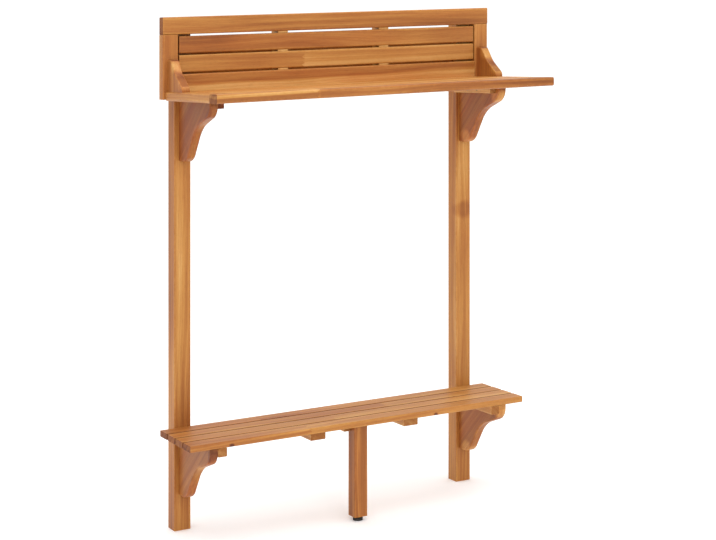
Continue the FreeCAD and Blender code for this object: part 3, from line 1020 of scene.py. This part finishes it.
@dataclass
class Joinery:
    """A sub-assembly of boards, with what its boards have in common."""

    fixings: Fixings
    wood: OiledHardwood
    slot: str = "frame_wood"
    arris: float = 0.003
    batten_arris: float = 0.0015
    end_arris: float = 0.0006
    outline_arris: float = 0.0025
    arris_segments: int = 4
    corner_segments: int = 14
    rim: float = 0.0032

    def board(self, node: str, grain: Grain, timber: Timber, arris: Optional[float] = None) -> Piece:
        """Makes one board in the place of a node.

        Args:
            node: The node that it stands for.
            grain: Which way its fibres run.
            timber: What sets its timber apart.
            arris: The radius of its long edges, if not the usual one.

        Returns:
            The board.
        """
        piece = self.plank(node, *corners_of(node), grain.axis, arris or self.arris)
        self.oil(piece, node, grain, timber)
        return piece

    def plank(
        self, node: str, low: Vector, high: Vector, axis: int, arris: float,
        square: Callable[[Vector], bool] = lambda spot: False,
    ) -> Piece:
        """Saws, planes and eases one board.

        Args:
            node: The node that it stands for.
            low: Its lowest corner.
            high: Its highest corner.
            axis: The number of the axis that it runs along.
            arris: The radius of its long edges.
            square: Says whether a long edge stays square, from the edge's middle.

        Returns:
            The board, not yet drilled or oiled.
        """
        piece = Bench.block(f"{node}_wood", low, high)

        def runs_along(first: Vector, second: Vector) -> bool:
            """Says whether an edge runs the length of the board and is eased."""
            return abs(first[axis] - second[axis]) > NEAR and not square((first + second) / 2)

        def at_end(first: Vector, second: Vector) -> bool:
            """Says whether an edge lies in an end of the board."""
            return is_level((first, second), (low, high), axis)

        Bench.ease(piece, runs_along, arris, self.arris_segments)
        Bench.ease(piece, at_end, self.end_arris, 2)
        Bench.wear_arrises(piece, self.rim, [i for i in range(3) if i != axis])
        return piece

    def shaped(self, node: str, corners: Sequence[Corner], stands: bool, timber: Timber) -> None:
        """Saws a shaped board to an outline, its thickness along X.

        Args:
            node: The node that it stands for.
            corners: Each corner's distance out from the board's back, its distance up from the foot or down
                from the head, and the radius that it is sawn to.
            stands: Whether the board stands on its foot, or else hangs from its head.
            timber: What sets its timber apart.
        """
        low, high = corners_of(node)
        base, way = (low.z, 1.0) if stands else (high.z, -1.0)
        outline = [Vector((low.x, high.y - out, base + way * level)) for out, level, _ in corners]
        Bench.clear()
        bpy.ops.mesh.primitive_circle_add(vertices=len(corners), fill_type="NGON", location=outline[0])
        piece = Bench.name(f"{node}_wood")
        Bench.move_corners(piece, outline)
        Bench.select(piece, Element.FACE, lambda face: True)
        across = Vector((high.x - low.x, 0.0, 0.0))
        bpy.ops.mesh.extrude_region_move(TRANSFORM_OT_translate={"value": across})
        bpy.ops.mesh.select_all(action="SELECT")
        bpy.ops.mesh.normals_make_consistent(inside=False)
        for index, (_, _, radius) in enumerate(corners):
            if radius:
                before, corner, after = (outline[(index + step) % len(outline)] for step in (-1, 0, 1))
                tangent = radius * math.tan((corner - before).angle(after - corner) / 2)

                def at_corner(first: Vector, second: Vector, corner: Vector = corner) -> bool:
                    """Says whether an edge crosses the board's thickness at this corner."""
                    return all((spot.yz - corner.yz).length < NEAR for spot in (first, second))

                Bench.ease(piece, at_corner, tangent, self.corner_segments)

        def on_outline(first: Vector, second: Vector) -> bool:
            """Says whether an edge borders a broad side and isn't where another board butts on.

            Args:
                first: One end of the edge.
                second: Its other end.

            Returns:
                Whether it does.
            """
            middle = (first + second) / 2
            butts = middle.y > high.y - TOUCH or abs(middle.z - base) < TOUCH
            return not butts and is_level((first, second), (low, high), 0)

        Bench.ease(piece, on_outline, self.outline_arris, 3)
        Bench.wear_arrises(piece, self.rim, [0])
        self.oil(piece, node, Grain.ALONG_Z, timber)

    def oil(self, piece: Piece, node: str, grain: Grain, timber: Timber) -> None:
        """Countersinks, smooths and oils a board, and puts it in its node's place.

        Args:
            piece: The board.
            node: The node that it stands for.
            grain: Which way its fibres run.
            timber: What sets its timber apart.
        """
        Bench.combine(piece, Shaping.CUT, [Bench.countersink(head) for head in self.fixings.heads_in(node)])
        Bench.smooth(piece)
        low, high = corners_of(node)
        material = self.wood.material(f"{node}_wood", grain, (low + high) / 2, timber)
        Bench.hand_over(piece, node, "table", self.slot, material)


@dataclass
class Posts(Joinery):
    """The two posts against the railing and the rail between them."""

    post_arris: float = 0.0015

    def build(self) -> None:
        """Makes the posts and the rear rail."""
        # The darker patches on the left-facing sides of both posts are painted shade.
        painted_left_side_shade = Patch((-0.412, 0.167, 0.7), (0.008, 0.05, 0.35), -0.14)
        left_front = Patch((-0.391, 0.147, 0.56), (0.03, 0.01, 0.22), 0.12)
        left = Timber(1.0, 0.55, 0.2, 0.1, bands=(Band(-0.012, 0.009, 0.1),), patches=(painted_left_side_shade, left_front))
        painted_right_side_shade = Patch((0.37, 0.167, 0.95), (0.008, 0.05, 0.3), -0.26)
        right_front = Patch((0.391, 0.147, 0.705), (0.03, 0.03, 0.022), -0.22)
        right = Timber(2.0, 0.67, 0.15, 0.1, patches=(painted_right_side_shade, right_front))
        self.board("post_left", Grain.ALONG_Z, left, self.post_arris)
        self.board("post_right", Grain.ALONG_Z, right, self.post_arris)
        self.board("rear_rail", Grain.ALONG_X, Timber(3.0, 0.7, 0.3))


@dataclass
class SplashPanel(Joinery):
    """The framed and slatted panel above the tabletop."""

    slot: str = "panel_wood"
    batten_thickness: float = 0.018
    tongue_relief: float = 0.0001
    tongue_sink: float = 0.001

    def build(self) -> None:
        """Makes the panel's frame, slats and battens."""
        top_bands = (Band(0.012, 0.007, 0.1), Band(-0.018, 0.006, -0.1))
        # The thin dark band along the bottom rail's lower edge is a painted shadow where the rail meets the
        # tabletop.
        low_bands = (Band(-0.012, 0.02, 0.36), Band(-0.0275, 0.0015, -0.3))
        low_left = Patch((-0.3, 0.12, 1.045), (0.2, 0.2, 0.02), 0.12)
        left_end = Patch((-0.38, 0.12, 1.16), (0.14, 0.2, 0.04), -0.1)
        right_end = Patch((0.36, 0.12, 1.16), (0.12, 0.2, 0.04), -0.08)
        boards = {
            "top_rail": Timber(11.0, 0.5, 0.2, figure=0.7, bands=top_bands),
            "bottom_rail": Timber(12.0, 0.53, 0.35, figure=0.8, bands=low_bands, patches=(low_left,)),
            "slat_1": Timber(13.0, 0.64, 0.1, figure=0.8, joints=(Joint(-0.077, 0.05),)),
            "slat_2": Timber(14.0, 0.56, 0.25, 0.2, figure=0.8, patches=(left_end, right_end)),
        }
        for name, timber in boards.items():
            self.board(f"panel_{name}", Grain.ALONG_X, timber)
        self.stile("panel_stile_left", Timber(15.0, 0.56, 0.2, figure=0.8))
        self.stile("panel_stile_right", Timber(16.0, 0.56, 0.2, 1.7, figure=0.8))
        self.batten("panel_batten_left", Timber(17.0, 0.85, 0.1, figure=0.6))
        self.batten("panel_batten_right", Timber(18.0, 0.8, 0.1, figure=0.6))

    def stile(self, node: str, timber: Timber) -> None:
        """Makes a stile, which is eased in front and stays square where it meets the post.

        Args:
            node: The node that it stands for.
            timber: What sets its timber apart.
        """
        low, high = corners_of(node)
        axis = Grain.ALONG_Z.axis
        piece = self.plank(node, low, high, axis, self.arris, lambda spot: spot.y > high.y - TOUCH)
        self.oil(piece, node, Grain.ALONG_Z, timber)

    def batten(self, node: str, timber: Timber) -> None:
        """Makes an upright batten with the tongues that fill the panel's gaps.

        Args:
            node: The node that it stands for.
            timber: What sets its timber apart.
        """
        low, high = corners_of(node)
        left, right = low.x + self.tongue_relief, high.x - self.tongue_relief
        front = high.y - self.batten_thickness
        piece = self.plank(
            node, Vector((low.x, front, low.z)), high, Grain.ALONG_Z.axis, self.batten_arris,
            lambda spot: spot.y < front + TOUCH,
        )
        boards = ("panel_bottom_rail", "panel_slat_1", "panel_slat_2", "panel_top_rail")
        for under, over in zip(boards, boards[1:]):
            tongue_low = Vector((left, low.y, corners_of(under)[1].z))
            tongue_high = Vector((right, front + self.tongue_sink, corners_of(over)[0].z))
            tongue = Bench.block("tongue", tongue_low, tongue_high)
            Bench.ease(tongue, lambda first, second: True, self.end_arris, 2)
            Bench.combine(piece, Shaping.ADD, [tongue])
        self.oil(piece, node, Grain.ALONG_Z, timber)


@dataclass
class Tabletop(Joinery):
    """The framed and slatted tabletop with its two battens."""

    slot: str = "tabletop_wood"
    frame_arris: float = 0.005
    slat_arris: float = 0.002
    slat_count: int = 6
    slat_tone: float = 0.68
    slat_tone_spread: float = 0.08
    slat_joint_spread: float = 0.1

    def build(self) -> None:
        """Makes the tabletop's frame, slats and battens."""
        # The pale band along the front rail's rounded top arris is a painted highlight.
        edge = Band(0.0095, 0.0035, 0.28)
        front = Timber(21.0, 0.51, 0.2, -0.05, figure=0.8, bands=(edge,), joints=(Joint(-0.19, -0.1),))
        self.board("top_front_rail", Grain.ALONG_X, front, self.frame_arris)
        self.board("top_end_rail_left", Grain.ALONG_Y, Timber(22.0, 0.62, 0.2), self.frame_arris)
        self.board("top_end_rail_right", Grain.ALONG_Y, Timber(23.0, 0.6, 0.2), self.frame_arris)
        for number in range(1, self.slat_count + 1):
            tone = self.slat_tone + self.slat_tone_spread * math.sin(2.4 * number)
            spread = self.slat_joint_spread
            joint = Joint(spread * math.sin(3.1 * number), spread * math.cos(1.9 * number))
            timber = Timber(23.0 + number, tone, 0.3, joints=(joint,))
            self.board(f"top_slat_{number}", Grain.ALONG_X, timber, self.slat_arris)
        self.board("top_batten_left", Grain.ALONG_Y, Timber(31.0, 0.4, 0.4), self.batten_arris)
        self.board("top_batten_right", Grain.ALONG_Y, Timber(32.0, 0.85, 0.1), self.batten_arris)


@dataclass
class Cheeks(Joinery):
    """The two curved cheeks between the tabletop and the splash panel."""

    slot: str = "tabletop_wood"
    reach: float = 0.0915
    height: float = 0.076
    toe_height: float = 0.010
    toe_round: float = 0.014
    waist_reach: float = 0.0475
    waist_height: float = 0.041
    waist_round: float = 0.060
    top_reach: float = 0.020
    top_round: float = 0.012

    def build(self) -> None:
        """Makes the left and the right cheek."""
        corners = (
            (0.0, 0.0, 0.0),
            (self.reach, 0.0, 0.0),
            (self.reach, self.toe_height, self.toe_round),
            (self.waist_reach, self.waist_height, self.waist_round),
            (self.top_reach, self.height, self.top_round),
            (0.0, self.height, 0.0),
        )
        places = ((0.09, 1.108), (0.045, 1.068))
        rims = tuple(Patch((0.0, y, z), (2.0, 0.018, 0.018), 0.22) for y, z in places)
        self.shaped("cheek_left", corners, True, Timber(41.0, 0.46, 0.4, figure=0.6, patches=rims))
        self.shaped("cheek_right", corners, True, Timber(42.0, 0.44, 0.4, figure=0.6, patches=rims))


@dataclass
class Brackets(Joinery):
    """The four shaped brackets, two under the tabletop and two under the shelf."""

    reach: float = 0.1895
    drop: float = 0.146
    nose_drop: float = 0.0315
    nose_round: float = 0.032
    elbow_reach: float = 0.099
    elbow_drop: float = 0.0645
    elbow_round: float = 0.085
    heel_reach: float = 0.044
    heel_round: float = 0.035
    lean: float = -48.0

    def build(self) -> None:
        """Makes the four brackets."""
        corners = (
            (0.0, 0.0, 0.0),
            (self.reach, 0.0, 0.0),
            (self.reach, self.nose_drop, self.nose_round),
            (self.elbow_reach, self.elbow_drop, self.elbow_round),
            (self.heel_reach, self.drop, self.heel_round),
            (0.0, self.drop, 0.0),
        )
        # The dark patch at the left shelf bracket's nose is painted shade under the front of the shelf.
        dark = Patch((-0.39, -0.045, 0.21), (0.1, 0.012, 0.03), -0.3)
        # The pale patches at the brackets' heels, elbows and noses are painted light from the floor on their
        # lower edges.
        looks = {
            "top_bracket_left": (51.0, 0.36, 0.75, ()),
            "top_bracket_right": (
                52.0, 0.36, 0.6, (self.painted_bounce_light(0.39, -0.03, 1.0), self.painted_bounce_light(0.39, 0.115, 0.895)),
            ),
            "shelf_bracket_left": (53.0, 0.43, 0.5, (self.painted_bounce_light(-0.39, 0.02, 0.16), dark)),
            "shelf_bracket_right": (
                54.0, 0.44, 0.35, (self.painted_bounce_light(0.39, -0.04, 0.22), self.painted_bounce_light(0.39, 0.11, 0.09)),
            ),
        }
        for node, (seed, tone, rose, patches) in looks.items():
            timber = Timber(seed, tone, rose, figure=0.6, lean=self.lean, patches=patches)
            self.shaped(node, corners, False, timber)

    @staticmethod
    def painted_bounce_light(x: float, y: float, z: float) -> Patch:
        """Gives a pale patch that crosses a bracket's thickness at one place: painted light from the floor on
        its lower edge.
        """
        return Patch((x, y, z), (0.1, 0.022, 0.022), 0.3)


@dataclass
class Shelf(Joinery):
    """The low shelf with its boards and battens."""

    slot: str = "shelf_wood"
    arris: float = 0.0025

    def build(self) -> None:
        """Makes the shelf's boards and battens."""
        # The darker band across the first board's front face is painted shade, for a face that looks forward
        # and gets less light than the top.
        edge = Band(-0.002, 0.006, -0.12)
        knots = (Knot((-0.345, -0.043, 0.233), 0.009), Knot((0.197, -0.043, 0.233), 0.008))
        # The faces that look into the gaps between the shelf boards get painted shade.
        front, back = (0.0, -1.0, 0.0), (0.0, 1.0, 0.0)
        boards = (
            Timber(
                61.0, 0.61, 0.15, 0.16, bands=(edge,), joints=(Joint(-0.14, 0.04),), knots=knots,
                painted_gap_shade_sides=(back,),
            ),
            Timber(62.0, 0.62, 0.2, joints=(Joint(-0.05, 0.06),), painted_gap_shade_sides=(front, back)),
            Timber(63.0, 0.56, 0.25, 0.15, joints=(Joint(0.12, 0.05),), painted_gap_shade_sides=(front, back)),
            Timber(64.0, 0.58, 0.3, 0.15, joints=(Joint(-0.2, 0.05),), painted_gap_shade_sides=(front,)),
        )
        for number, timber in enumerate(boards, start=1):
            self.board(f"shelf_board_{number}", Grain.ALONG_X, timber)
        battens = ("end_batten_left", "end_batten_right", "mid_batten_left", "mid_batten_right", "leg_batten")
        for number, batten in enumerate(battens):
            timber = Timber(65.0 + number * 0.7, 0.78, 0.1)
            self.board(f"shelf_{batten}", Grain.ALONG_Y, timber, self.batten_arris)


@dataclass
class FrontLeg(Joinery):
    """The front leg, bored for the levelling foot's insert."""

    stud_bore: float = 0.0046
    stud_bore_top: float = 0.0425

    def build(self) -> None:
        """Makes the leg and bores its foot."""
        timber = Timber(71.0, 0.43, 0.2, bands=(Band(0.0, 0.006, 0.14), Band(0.004, 0.003, -0.12)))
        leg = self.board("leg", Grain.ALONG_Z, timber)
        low, high = corners_of("leg_insert")
        mouth = Vector(((low.x + high.x) / 2, (low.y + high.y) / 2, low.z))
        bores = (((high.x - low.x) / 2, high.z - low.z), (self.stud_bore, self.stud_bore_top - low.z))
        drills = [Bench.drill(mouth, UP, radius, radius, depth) for radius, depth in bores]
        Bench.combine(leg, Shaping.CUT, drills)
        Bench.smooth(leg)


@dataclass
class LevellingFoot:
    """The round pad and the threaded stud that the front leg stands on."""

    plastic: MouldedPlastic
    steel: Metal
    pad_arris: float = 0.0015
    rib_count: int = 40
    groove_rim: float = 0.0002
    groove_depth: float = 0.0005
    dish_rim: float = 0.0016
    dish_slope: float = 0.0008
    dish_depth: float = 0.0006
    rim_wear: float = 2.2
    socket_radius: float = 0.0041
    stud_radius: float = 0.004
    stud_sides: int = 32
    stud_inset: float = 0.0004
    collar_lift: float = 0.00005
    collar_height: float = 0.0025
    collar_arris: float = 0.00025
    lap: float = 0.0003
    thread_pitch: float = 0.00125
    thread_depth: float = 0.0007
    thread_steps: int = 24
    crease: float = math.radians(28)

    def build(self) -> None:
        """Makes the pad and the stud."""
        self.build_pad()
        self.build_stud()

    def build_pad(self) -> None:
        """Turns the pad, with a grooved rim, a dished top and the socket that the stud turns in."""
        low, high = corners_of("foot_pad")
        centre = (low + high) / 2
        radius = (high.x - low.x) / 2
        sides = self.rib_count * 2
        piece = Bench.bar("foot_pad_moulding", sides, radius, centre, (low.z, high.z))
        Bench.ease(piece, lambda first, second: abs(first.z - second.z) < NEAR, self.pad_arris, 4)
        wall = (high.z - low.z - 2 * self.pad_arris) * math.tau * radius / sides

        def is_groove(face: bpy.types.MeshPolygon) -> bool:
            """Says whether a face is every other one of the upright wall.

            Args:
                face: The face.

            Returns:
                Whether it is.
            """
            upright = abs(face.normal.z) < 0.01 and face.area > 0.5 * wall
            turn = math.atan2(face.center.y - centre.y, face.center.x - centre.x) / math.tau
            return upright and int((turn + 1) * sides) % 2 == 0

        Bench.select(piece, Element.FACE, is_groove)
        bpy.ops.mesh.inset(thickness=self.groove_rim, depth=-self.groove_depth, use_individual=True)
        Bench.select(piece, Element.FACE, lambda face: face.normal.z > 0.99 and face.area > radius * radius)
        bpy.ops.mesh.inset(thickness=self.dish_rim)
        bpy.ops.mesh.inset(thickness=self.dish_slope, depth=-self.dish_depth)
        bpy.ops.object.mode_set(mode="OBJECT")
        mouth = Vector((centre.x, centre.y, high.z))
        depth = high.z - corners_of("foot_stud")[0].z + TOUCH
        socket = Bench.drill(mouth, -UP, self.socket_radius, self.socket_radius, depth)
        Bench.combine(piece, Shaping.CUT, [socket])
        span = high.z - low.z
        Bench.set_wear(piece, lambda vertex: min(1.0, self.rim_wear * abs(vertex.co.z - centre.z) / span))
        Bench.smooth(piece)
        Bench.hand_over(piece, "foot_pad", "pad", "foot_plastic", self.plastic.material("foot_plastic"))

    def build_stud(self) -> None:
        """Makes the threaded stud with its hexagon collar."""
        low, high = corners_of("foot_stud")
        axis = (low + high) / 2
        radius = self.stud_radius
        base = corners_of("foot_pad")[1].z + self.collar_lift
        top = base + self.collar_height
        corner_radius = (high.y - low.y) / 2 / math.cos(math.pi / 6)
        piece = Bench.bar("foot_stud_steel", 6, corner_radius, axis, (base, top), math.pi / 6)
        Bench.ease(piece, lambda first, second: True, self.collar_arris, 2)
        turns = int((high.z - top) / self.thread_pitch) - 1
        thread_top = top - self.lap + (turns + 0.5) * self.thread_pitch
        parts = [
            piece,
            self.rod("stud_pin", radius, axis, (low.z, base + self.lap)),
            self.thread(axis, top - self.lap, turns),
            self.rod("stud_tip", radius - self.thread_depth, axis, (thread_top, high.z)),
        ]
        Bench.clear()
        for part in parts:
            part.select_set(True)
        bpy.context.view_layer.objects.active = piece
        bpy.ops.object.join()
        Bench.take(piece)
        bpy.ops.object.shade_smooth_by_angle(angle=self.crease)
        Bench.hand_over(piece, "foot_stud", "stud", "plated_steel", self.steel.material("stud_steel"))

    def rod(self, name: str, radius: float, axis: Vector, ends: tuple[float, float]) -> Piece:
        """Makes a plain round length of the stud, with a ring turned in each end.

        Args:
            name: Its name.
            radius: Its radius.
            axis: A place on its axis.
            ends: The levels of its lower and upper end.

        Returns:
            The rod.
        """
        rod = Bench.bar(name, self.stud_sides, radius, axis, ends)
        Bench.select(rod, Element.FACE, lambda face: abs(face.normal.z) > 0.99)
        bpy.ops.mesh.inset(thickness=self.stud_inset)
        bpy.ops.object.mode_set(mode="OBJECT")
        return rod

    def thread(self, axis: Vector, base: float, turns: int) -> Piece:
        """Cuts the stud's thread as one tooth that winds up the axis.

        Args:
            axis: A place on the stud's axis.
            base: The level where it starts.
            turns: How many times it goes round.

        Returns:
            The threaded length.
        """
        pitch, crest = self.thread_pitch, self.stud_radius
        root = crest - self.thread_depth
        Bench.clear()
        bpy.ops.mesh.primitive_plane_add(size=pitch)
        tooth = Bench.name("stud_thread")
        corners = ((root, 0.0), (crest, 0.4), (root, 1.0), (crest, 0.6))
        Bench.move_corners(tooth, [Vector((out, 0.0, share * pitch)) for out, share in corners])
        Bench.select(tooth, Element.EDGE, lambda edge: set(edge.vertices) == {0, 2})
        bpy.ops.mesh.delete(type="EDGE")
        bpy.ops.object.mode_set(mode="OBJECT")
        steps = self.thread_steps
        Bench.apply(
            tooth, "SCREW", axis="Z", screw_offset=pitch, iterations=turns, steps=steps, render_steps=steps,
            use_merge_vertices=False,
        )
        Bench.select(tooth, Element.FACE, lambda face: True)
        bpy.ops.mesh.remove_doubles(threshold=NEAR / 2)
        bpy.ops.mesh.select_all(action="SELECT")
        bpy.ops.mesh.fill_holes(sides=0)
        bpy.ops.mesh.select_all(action="SELECT")
        bpy.ops.mesh.normals_make_consistent(inside=False)
        bpy.ops.transform.translate(value=(axis.x, axis.y, base))
        bpy.ops.object.mode_set(mode="OBJECT")
        return tooth


@dataclass(frozen=True)
class Lamp:
    """A soft round lamp and the place that it shines on."""

    name: str
    place: Corner
    target: Corner
    size: float
    power: float


@dataclass
class Studio:
    """The floor, the light and the camera."""

    image_width: float = 716.0
    image_height: float = 540.0
    focal_pixels: float = 1662.13
    axis_x: float = 309.34
    horizon_y: float = 32.33
    lean: float = -0.03526
    turn: float = math.radians(26.2665)
    eye: Corner = (-1.87509, -3.54376, 1.17731)
    sensor: float = 36.0
    floor_size: float = 60.0
    floor_dark: Colour = (0.93, 0.93, 0.93, 1.0)
    floor_pale: Colour = (0.95, 0.95, 0.95, 1.0)
    floor_glow: float = 0.12
    cloud_cells: Corner = (0.7, 0.7, 0.7)
    seen_strength: float = 1.1
    horizon_strength: float = 0.75
    zenith_strength: float = 1.4
    lamps: tuple[Lamp, ...] = (
        Lamp("lamp_over", (-0.3, -0.6, 3.6), (0.0, 0.0, 0.6), 2.6, 34.0),
        Lamp("lamp_front", (-0.6, -3.9, 2.0), (0.0, 0.0, 0.7), 2.0, 28.0),
    )

    def build(self) -> None:
        """Makes the floor, the light and the camera."""
        self.build_floor()
        self.build_world()
        self.build_lights()
        self.build_camera()
        bpy.context.scene.view_settings.view_transform = "Standard"
        log.info("studio: floor, world, lights and camera")

    def build_floor(self) -> None:
        """Lays the pale floor."""
        Bench.clear()
        bpy.ops.mesh.primitive_grid_add(x_subdivisions=4, y_subdivisions=4, size=self.floor_size)
        floor = Bench.name("studio_floor")
        graph = Graph(bpy.data.materials.new("pale_floor"))
        cloud = graph.noise(graph.place(), self.cloud_cells, 1.0)["Fac"]
        floor.data.materials.append(graph.finish({
            "Base Color": graph.blend(Blend.MIX, cloud, self.floor_dark, self.floor_pale),
            "Roughness": 0.8,
            "Specular IOR Level": 0.1,
            "Emission Color": WHITE,
            "Emission Strength": self.floor_glow,
        }))

    def build_world(self) -> None:
        """Lights the studio softly from overhead and less from the sides, with white behind the table."""
        bpy.context.scene.world = bpy.data.worlds.new("studio")
        graph = Graph(bpy.context.scene.world)
        seen = graph.add("ShaderNodeLightPath", {}, {})["Is Camera Ray"]
        height = graph.add("ShaderNodeSeparateXYZ", {}, {"Vector": graph.place("Generated")})["Z"]
        rise = self.zenith_strength - self.horizon_strength
        strength = self.horizon_strength + height.over(0.0, 1.0) * rise
        strength = strength + seen * (self.seen_strength - strength)
        back = graph.add("ShaderNodeBackground", {}, {"Color": WHITE, "Strength": strength})
        graph.add("ShaderNodeOutputWorld", {}, {"Surface": back["Background"]})

    def build_lights(self) -> None:
        """Hangs one large soft lamp over the table and one in front of it."""
        for lamp in self.lamps:
            data = bpy.data.lights.new(lamp.name, "AREA")
            data.shape = "DISK"
            data.size = lamp.size
            data.energy = lamp.power
            hung = bpy.data.objects.new(lamp.name, data)
            bpy.context.scene.collection.objects.link(hung)
            hung.location = lamp.place
            way = Vector(lamp.target) - Vector(lamp.place)
            hung.rotation_euler = way.to_track_quat("-Z", "Y").to_euler()

    def build_camera(self) -> None:
        """Sets the camera where the picture was taken from, with the picture's own lean and crop.

        The picture is cropped off the lens's middle, and its level lines lean while its upright lines
        stay upright. Both are in the frame that carries the camera, so the lens itself has no shift.
        """
        right = Vector((math.cos(self.turn), -math.sin(self.turn), 0.0))
        ahead = Vector((math.sin(self.turn), math.cos(self.turn), 0.0))
        off_x = (self.image_width / 2 - self.axis_x) / self.focal_pixels
        off_y = (self.horizon_y - self.image_height / 2) / self.focal_pixels + self.lean * off_x
        forward = ahead + right * off_x + UP * off_y
        columns = (right + UP * self.lean, UP, -forward.normalized())
        skew = Matrix([[column[row] for column in columns] for row in range(3)]).to_4x4()
        data = bpy.data.cameras.new("camera")
        data.sensor_width = self.sensor
        data.lens = self.focal_pixels * forward.length / self.image_width * self.sensor
        carrier = bpy.data.objects.new("camera_carrier", None)
        camera = bpy.data.objects.new("camera", data)
        for thing in (carrier, camera):
            bpy.context.scene.collection.objects.link(thing)
        camera.parent = carrier
        camera.matrix_parent_inverse = Matrix.Translation(self.eye) @ skew
        bpy.context.scene.camera = camera


def main() -> None:
    """Builds the table, piece by piece, and the studio round it."""
    wood = OiledHardwood()
    zinc = Metal(colour(158, 138, 98), colour(116, 100, 72), 0.42)
    brass = Metal(colour(196, 160, 96), colour(130, 104, 62), 0.35)
    fixings = Fixings()
    fixings.dress(zinc, wood, brass)
    for sub_assembly in (Posts, SplashPanel, Tabletop, Cheeks, Brackets, Shelf, FrontLeg):
        sub_assembly(fixings, wood).build()
    LevellingFoot(MouldedPlastic(), zinc).build()
    Studio().build()


if __name__ == "__main__":
    logging.basicConfig(level=logging.INFO, format="%(name)s: %(message)s")
    main()
